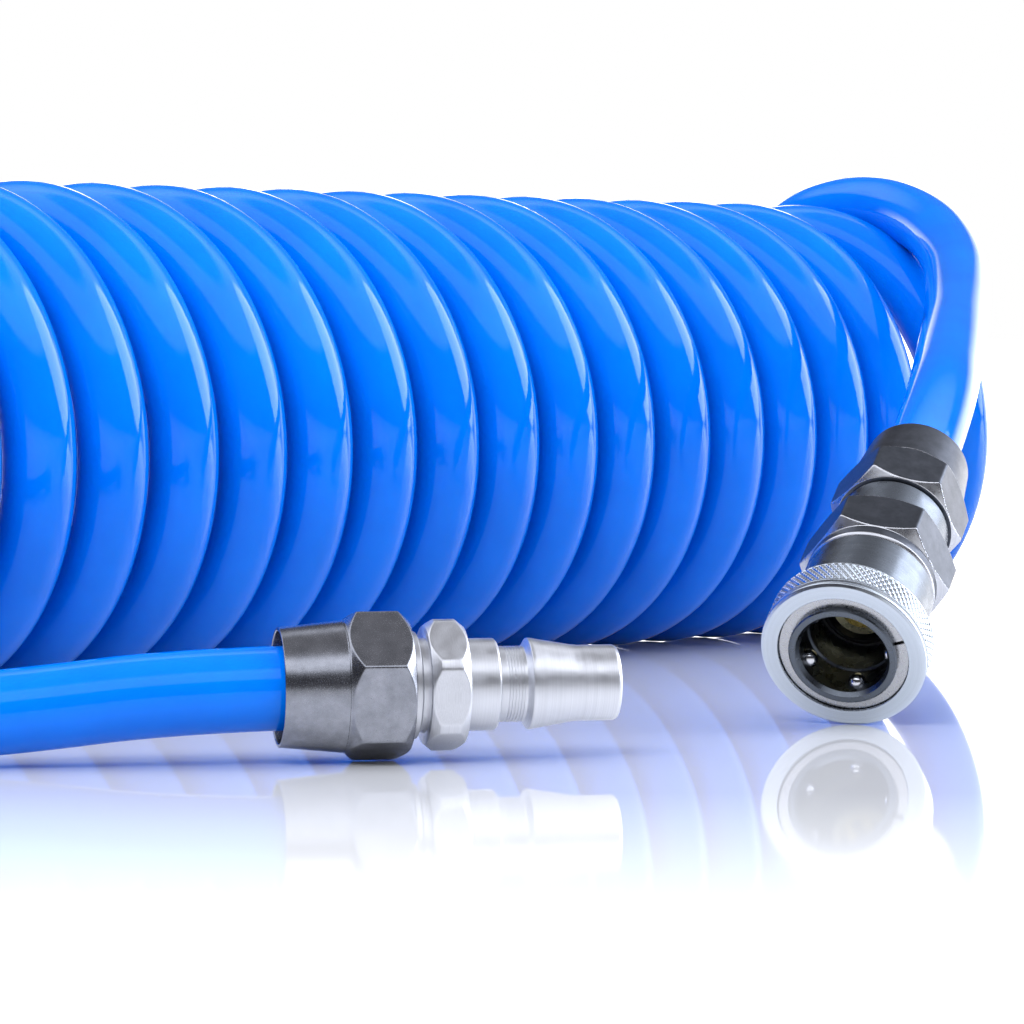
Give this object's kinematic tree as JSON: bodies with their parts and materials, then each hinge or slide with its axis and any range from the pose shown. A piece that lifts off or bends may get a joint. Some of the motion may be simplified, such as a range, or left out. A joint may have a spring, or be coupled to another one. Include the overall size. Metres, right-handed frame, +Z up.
{
  "type": "coiled air hose",
  "caption": "Coiled blue recoil air hose with a compression-nut quick-coupling plug at one end and a sleeve-release quick socket at the other.",
  "frame": {"origin": "middle of the object's bounding box, on the surface it rests on", "axes": "+Z up; the coil's axis runs along X, with the socket's loop at the +X end and the plug's tail at the -X end; both fittings lie on the -Y side"},
  "size_m": [0.3799, 0.1994, 0.0921],
  "materials": {
    "hose": "glossy, slightly translucent blue polyurethane",
    "plug_steel": "satin zinc-plated steel",
    "socket_steel": "satin zinc-plated steel, darker",
    "sleeve_steel": "bright plated steel with a diamond knurl",
    "spring_steel": "bright spring wire",
    "ball_steel": "polished",
    "valve_brass": "turned brass",
    "seal_rubber": "black nitrile rubber"
  },
  "bodies": {
    "hose": {"hose_coil": "hose", "hose_tail": "hose", "hose_loop": "hose", "plug_nut": "plug_steel", "plug_body": "plug_steel", "socket_nut": "socket_steel", "hose_adapter": "socket_steel", "socket_body": "socket_steel", "socket_barrel": "socket_steel", "snap_ring": "spring_steel", "main_seal": "seal_rubber", "body_seal": "seal_rubber", "sleeve_spring": "spring_steel", "valve_spring": "spring_steel"},
    "sleeve": {"socket_sleeve": "sleeve_steel"},
    "valve": {"valve_poppet": "valve_brass", "valve_seal": "seal_rubber"},
    "ball_1": {"locking_ball_1": "ball_steel"},
    "ball_2": {"locking_ball_2": "ball_steel"},
    "ball_3": {"locking_ball_3": "ball_steel"},
    "ball_4": {"locking_ball_4": "ball_steel"},
    "ball_5": {"locking_ball_5": "ball_steel"}
  },
  "joints": [
    {"name": "sleeve_slide", "type": "slide", "parent": "hose", "child": "sleeve", "axis": [0.7895, 0.3715, 0.4886], "range_m": [0, 0.0026], "stiffness_N_per_m": 1500, "springref_m": -0.004, "deforming": ["sleeve_spring"]},
    {"name": "valve_slide", "type": "slide", "parent": "hose", "child": "valve", "axis": [0.7895, 0.3715, 0.4886], "range_m": [0, 0.004], "stiffness_N_per_m": 800, "springref_m": -0.005, "deforming": ["valve_spring"]},
    {"name": "ball_1_slide", "type": "slide", "parent": "hose", "child": "ball_1", "axis": [0.4842, 0.1123, -0.8677], "range_m": [0, 0.00105]},
    {"name": "ball_2_slide", "type": "slide", "parent": "hose", "child": "ball_2", "axis": [-0.2091, 0.9112, -0.3549], "range_m": [0, 0.00105]},
    {"name": "ball_3_slide", "type": "slide", "parent": "hose", "child": "ball_3", "axis": [-0.6135, 0.4508, 0.6484], "range_m": [0, 0.00105]},
    {"name": "ball_4_slide", "type": "slide", "parent": "hose", "child": "ball_4", "axis": [-0.17, -0.6326, 0.7556], "range_m": [0, 0.00105]},
    {"name": "ball_5_slide", "type": "slide", "parent": "hose", "child": "ball_5", "axis": [0.5084, -0.8418, -0.1814], "range_m": [0, 0.00105]}
  ],
  "couplings": [
    {"joint": "ball_1_slide", "follows": "sleeve_slide", "ratio": 0.4038},
    {"joint": "ball_2_slide", "follows": "sleeve_slide", "ratio": 0.4038},
    {"joint": "ball_3_slide", "follows": "sleeve_slide", "ratio": 0.4038},
    {"joint": "ball_4_slide", "follows": "sleeve_slide", "ratio": 0.4038},
    {"joint": "ball_5_slide", "follows": "sleeve_slide", "ratio": 0.4038}
  ]
}
